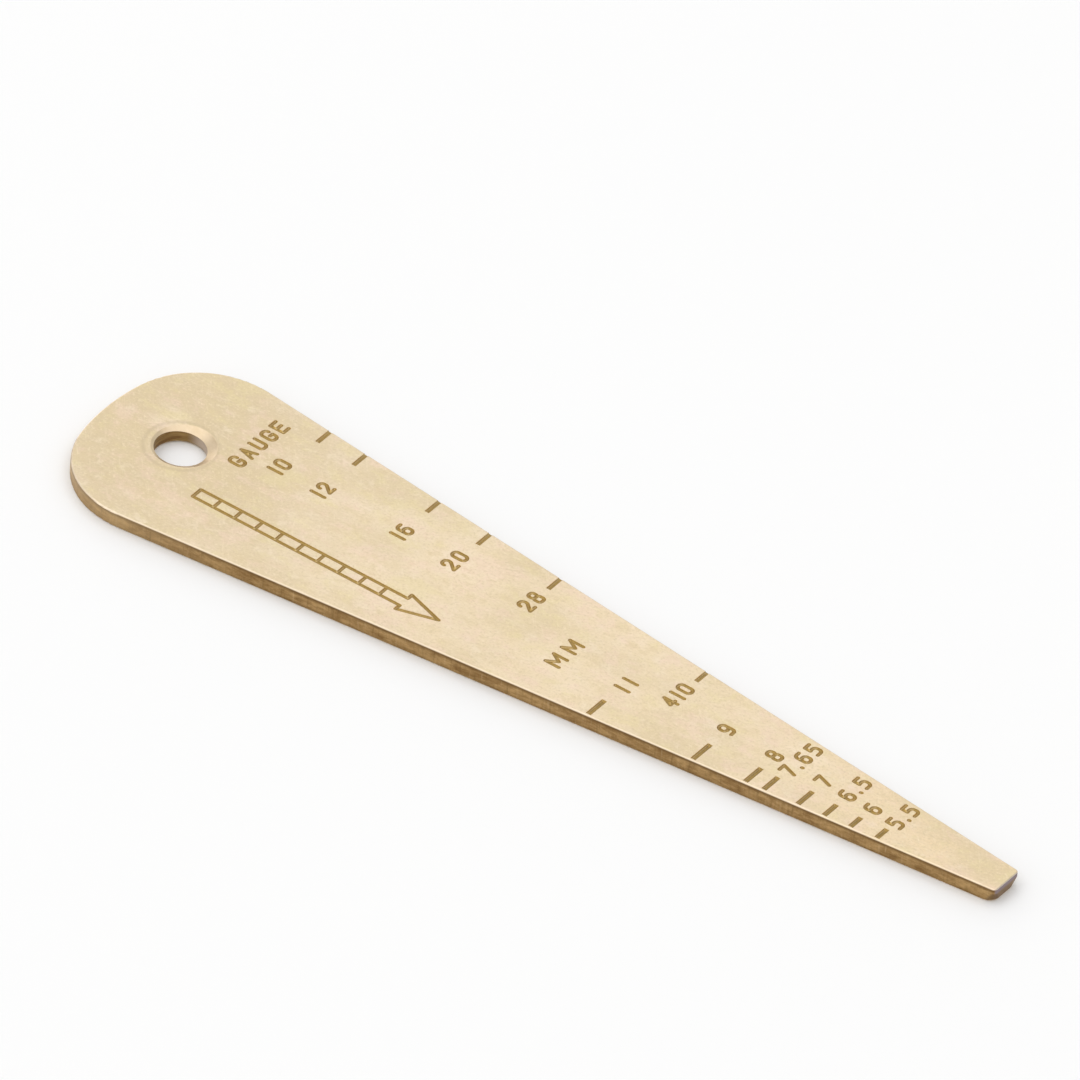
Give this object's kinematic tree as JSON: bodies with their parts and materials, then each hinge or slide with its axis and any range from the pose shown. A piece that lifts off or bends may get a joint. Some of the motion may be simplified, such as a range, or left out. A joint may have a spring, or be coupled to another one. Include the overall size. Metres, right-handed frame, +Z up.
{
  "type": "tapered bore gauge",
  "caption": "Flat tapered brass gauge with a round hanging end, engraved bore and millimetre scales, slid into a bore to read its diameter.",
  "frame": {"origin": "middle of the footprint, on the underside that the gauge lies on", "axes": "+X along the centreline towards the narrow tip, +Y across the plate towards the edge with the bore marks, +Z up through the engraved face"},
  "size_m": [0.088, 0.02, 0.0014],
  "materials": {
    "brass": "satin, brushed along its length",
    "engraving_film": "matt, darkened olive brown"
  },
  "bodies": {
    "root": {"gauge_plate": "brass", "bore_ticks": "engraving_film", "bore_numbers": "engraving_film", "bore_heading": "engraving_film", "millimetre_ticks": "engraving_film", "millimetre_numbers": "engraving_film", "millimetre_heading": "engraving_film", "direction_arrow": "engraving_film"}
  },
  "joints": []
}
